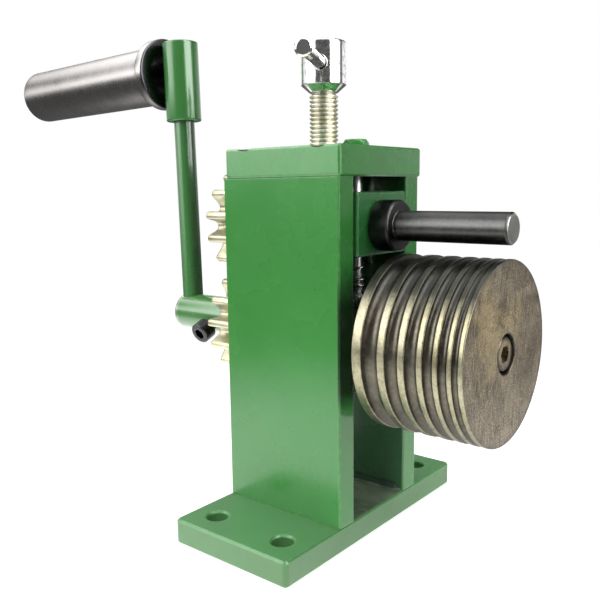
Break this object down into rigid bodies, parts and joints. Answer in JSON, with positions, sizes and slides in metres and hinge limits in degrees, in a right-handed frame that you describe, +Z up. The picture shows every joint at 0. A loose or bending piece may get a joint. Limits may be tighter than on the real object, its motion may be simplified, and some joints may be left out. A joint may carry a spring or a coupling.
{
  "type": "ring roller",
  "caption": "Hand-cranked bench ring roller: a grooved roller geared to a screw-pressed pin in a painted steel frame on a drilled foot.",
  "frame": {"origin": "middle of the foot's underside", "axes": "+Z up; +Y along the shafts towards the crank; +X to the right when the roller faces the viewer"},
  "size_m": [0.125, 0.292, 0.2188],
  "materials": {
    "green_enamel": "gloss enamel, sprayed over edges and welds",
    "black_oxide": "oiled black oxide",
    "bare_steel": "turned",
    "roller_bronzed": "turned, oiled brown with worn bright ridges",
    "zinc_yellow": "pale yellow plated",
    "bush_bronze": "sintered",
    "bright_chrome": "bright plated",
    "grip_steel": "turned grey brown"
  },
  "bodies": {
    "frame": {"base_plate": "green_enamel", "left_side_plate": "green_enamel", "right_side_plate": "green_enamel", "weld_beads": "green_enamel", "cap_plate": "green_enamel", "cap_screws": "black_oxide", "lower_block": "green_enamel", "lower_bushes": "bush_bronze", "guide_bolt": "bare_steel", "spring_stud": "bare_steel", "return_springs": "bare_steel"},
    "press_block": {"press_block": "green_enamel", "upper_bushes": "bush_bronze", "screw_seat": "bare_steel"},
    "press_shaft": {"press_shaft": "black_oxide", "upper_gear": "zinc_yellow", "upper_key": "bare_steel", "gear_washer": "bare_steel", "gear_bolt": "bare_steel"},
    "drive": {"drive_shaft": "bare_steel", "front_spacer": "bare_steel", "grooved_roller": "roller_bronzed", "roller_key": "bare_steel", "roller_screw": "black_oxide", "rear_spacer": "bare_steel", "lower_gear": "zinc_yellow", "lower_key": "bare_steel", "crank_hub": "green_enamel", "crank_arm": "green_enamel", "crank_head": "green_enamel", "hub_screw": "black_oxide", "grip_bolt": "bare_steel"},
    "grip": {"crank_grip": "grip_steel"},
    "pressure_screw": {"pressure_screw": "bright_chrome"},
    "tommy_bar": {"tommy_bar": "bright_chrome"}
  },
  "joints": [
    {"name": "press_travel", "type": "slide", "parent": "frame", "child": "press_block", "axis": [0, 0, 1], "range_m": [-0.0037, 0.002], "deforming": ["return_springs"]},
    {"name": "crank_spin", "type": "hinge", "parent": "frame", "child": "drive", "pos_m": [0, 0, 0.084], "axis": [0, 1, 0], "continuous": true},
    {"name": "press_spin", "type": "hinge", "parent": "press_block", "child": "press_shaft", "pos_m": [0, 0, 0.13], "axis": [0, 1, 0], "continuous": true},
    {"name": "grip_spin", "type": "hinge", "parent": "drive", "child": "grip", "pos_m": [0, 0.08559, 0.20196], "axis": [0, 0.9999, -0.0164], "continuous": true},
    {"name": "screw_turn", "type": "hinge", "parent": "press_block", "child": "pressure_screw", "pos_m": [0, -0.0014, 0.195], "axis": [0, 0, 1], "range_deg": [-762, 412]},
    {"name": "bar_slide", "type": "slide", "parent": "pressure_screw", "child": "tommy_bar", "axis": [0.8886, 0.4587, 0], "range_m": [-0.0053, 0.03]}
  ],
  "couplings": [
    {"joint": "press_spin", "follows": "crank_spin", "ratio": -1},
    {"joint": "screw_turn", "follows": "press_travel", "rad_per_m": 3590.4}
  ]
}
